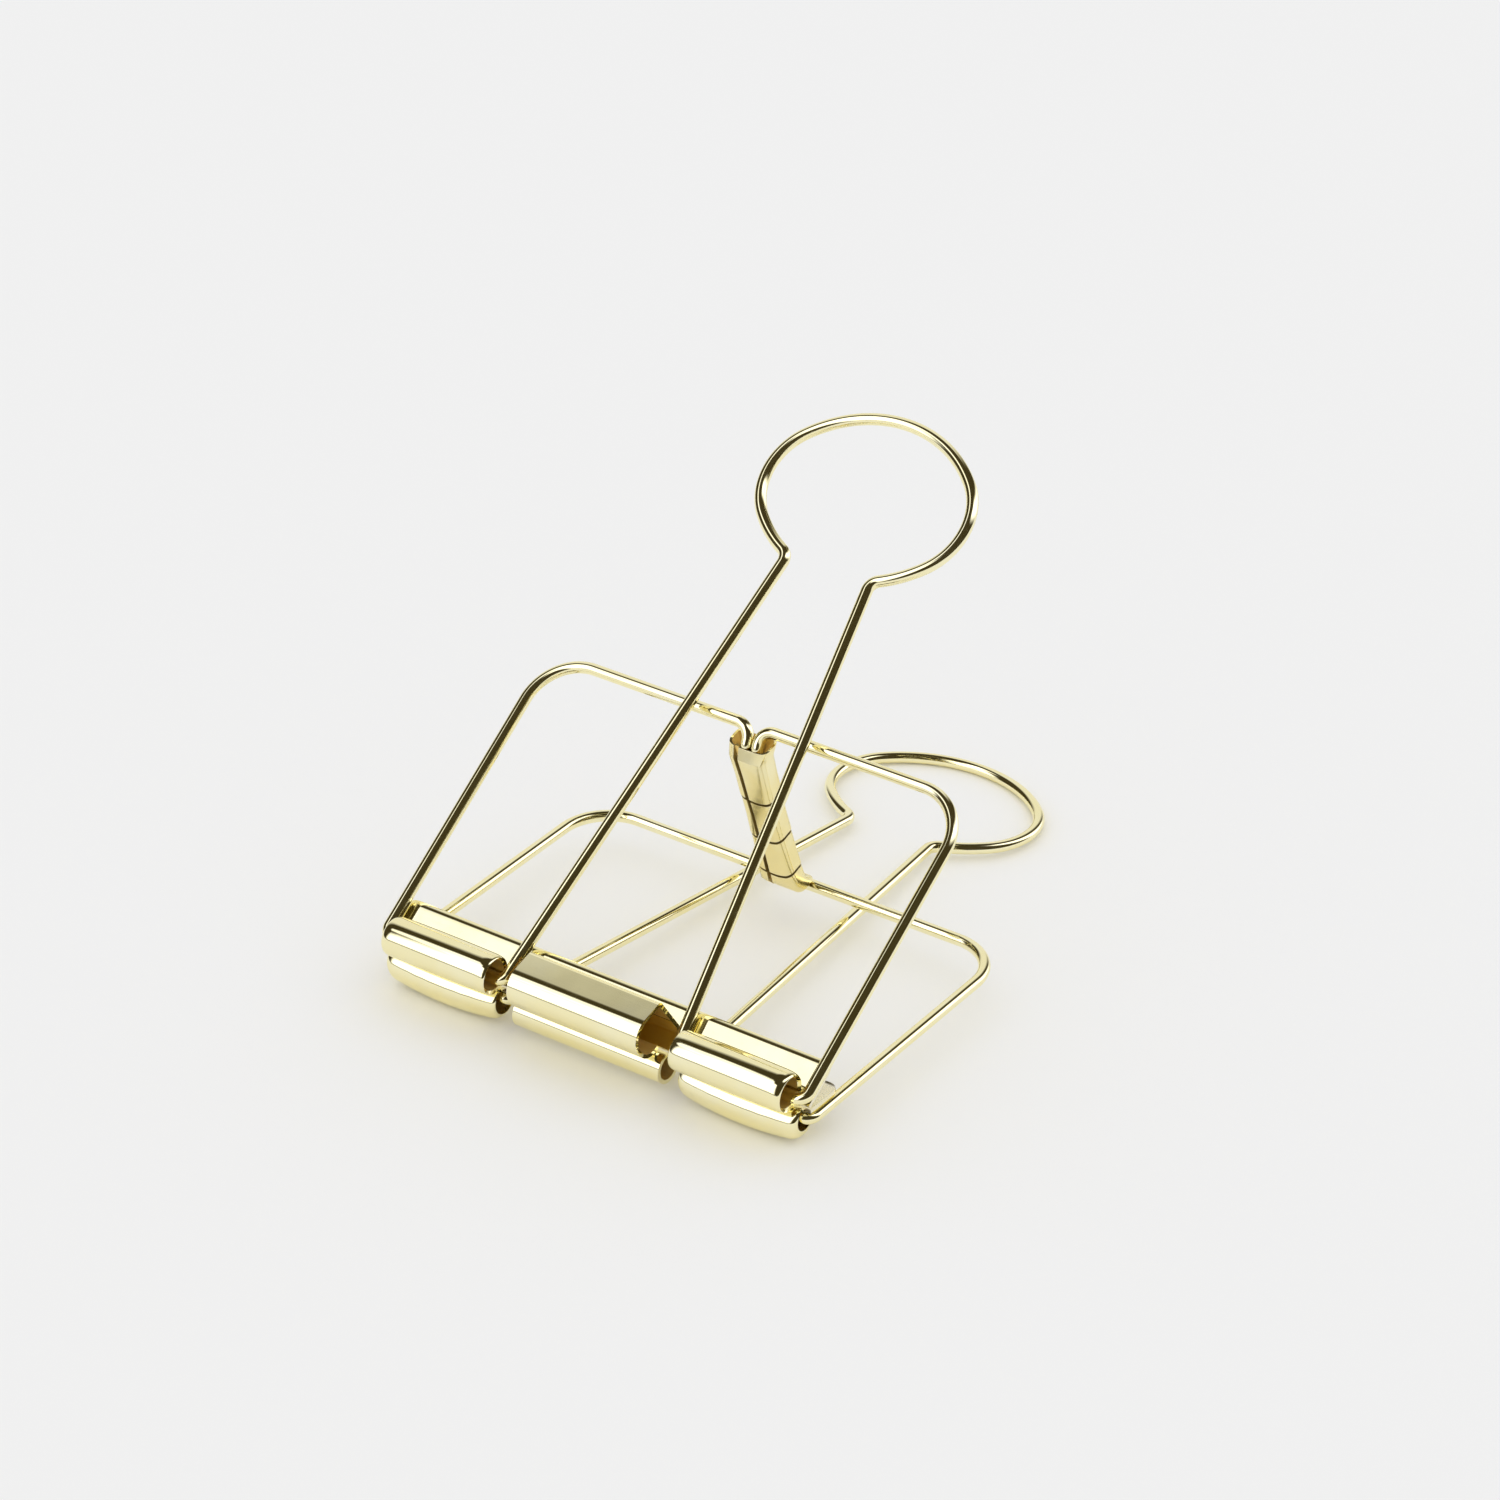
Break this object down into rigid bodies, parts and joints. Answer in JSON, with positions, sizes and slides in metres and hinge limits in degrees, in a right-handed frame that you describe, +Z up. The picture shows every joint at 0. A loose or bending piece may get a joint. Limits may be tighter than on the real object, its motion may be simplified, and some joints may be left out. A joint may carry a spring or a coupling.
{
  "type": "binder clip",
  "caption": "Wire binder clip: sprung wire frames with rolled sheet jaws, a folded clasp at the spine and keyhole handles that pivot in the jaws.",
  "frame": {"origin": "middle of the clip's outline on the surface it rests on", "axes": "X along the jaws, +Y from the jaws to the handles' loops, +Z up from the surface; the clip rests on the lower jaw's rolled ends and the lower handle's loop"},
  "size_m": [0.0506, 0.0704, 0.0471],
  "materials": {
    "spring_wire": "polished",
    "handle_wire": "polished",
    "rolled_sheet": "polished",
    "folded_sheet": "polished"
  },
  "bodies": {
    "spine": {"left_wire_spine": "spring_wire", "right_wire_spine": "spring_wire", "spine_clasp": "folded_sheet"},
    "upper_half": {"upper_jaw": "rolled_sheet", "left_wire_upper_arm": "spring_wire", "right_wire_upper_arm": "spring_wire"},
    "lower_half": {"lower_jaw": "rolled_sheet", "left_wire_lower_arm": "spring_wire", "right_wire_lower_arm": "spring_wire"},
    "upper_handle": {"upper_handle": "handle_wire"},
    "lower_handle": {"lower_handle": "handle_wire"}
  },
  "joints": [
    {"name": "upper_half_opening", "type": "hinge", "parent": "spine", "child": "upper_half", "pos_m": [0, -0.00541, 0.02412], "axis": [-1, 0, 0], "range_deg": [0, 16], "stiffness_Nm_per_rad": 1.2, "springref_deg": -5.73},
    {"name": "lower_half_opening", "type": "hinge", "parent": "spine", "child": "lower_half", "pos_m": [0, 0.0013, 0.00379], "axis": [1, 0, 0], "range_deg": [0, 16], "stiffness_Nm_per_rad": 1.2, "springref_deg": -5.73},
    {"name": "upper_handle_pivot", "type": "hinge", "parent": "upper_half", "child": "upper_handle", "pos_m": [0, -0.03232, 0.00538], "axis": [1, 0, 0], "range_deg": [0, 159]},
    {"name": "lower_handle_pivot", "type": "hinge", "parent": "lower_half", "child": "lower_handle", "pos_m": [0, -0.03149, 0.00285], "axis": [-1, 0, 0], "range_deg": [0, 159]}
  ],
  "couplings": [
    {"joint": "lower_half_opening", "follows": "upper_half_opening", "ratio": 1}
  ]
}
